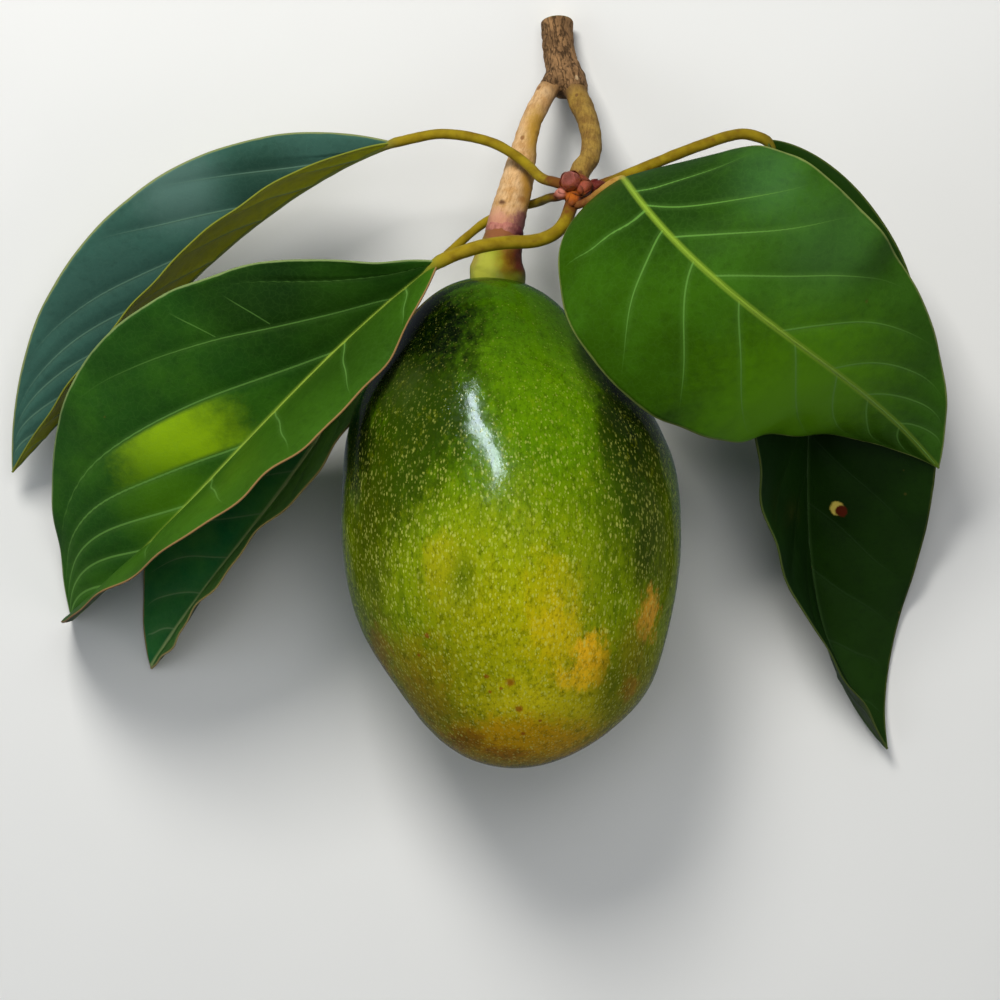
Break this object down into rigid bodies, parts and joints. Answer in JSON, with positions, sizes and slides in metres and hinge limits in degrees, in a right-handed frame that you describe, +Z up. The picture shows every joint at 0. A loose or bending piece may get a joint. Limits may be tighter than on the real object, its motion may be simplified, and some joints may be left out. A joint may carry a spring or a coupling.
{
  "type": "cut avocado branchlet with fruit",
  "caption": "Cut avocado branchlet lying down: a ripening fruit on its stalk, large folded leaves round a bud cluster, and the woody twig that carried them.",
  "frame": {"origin": "middle of the branchlet's footprint, on the surface it lies on", "axes": "+Z up, +Y from the fruit towards its stalk and the twig's cut end, +X across the leaves"},
  "size_m": [0.215, 0.1722, 0.0764],
  "materials": {
    "bark": "matte",
    "young_bark": "matte",
    "stalk_skin": "matte",
    "collar_bark": "matte",
    "knob_skin": "satin",
    "fruit_skin": "satin",
    "bud_scales": "satin",
    "leaf_green": "satin",
    "leaf_dark": "satin",
    "leaf_blue_green": "satin",
    "leaf_bright": "satin",
    "leaf_shade": "satin"
  },
  "bodies": {
    "root": {"twig": "bark", "leafy_shoot": "young_bark", "fruit_stalk": "stalk_skin", "stalk_collar": "collar_bark", "stalk_knob": "knob_skin", "fruit": "fruit_skin", "bud_cluster": "bud_scales", "leaf_front_left": "leaf_green", "leaf_low_left": "leaf_dark", "leaf_back_left": "leaf_blue_green", "leaf_front_right": "leaf_bright", "leaf_back_right": "leaf_shade"}
  },
  "joints": []
}
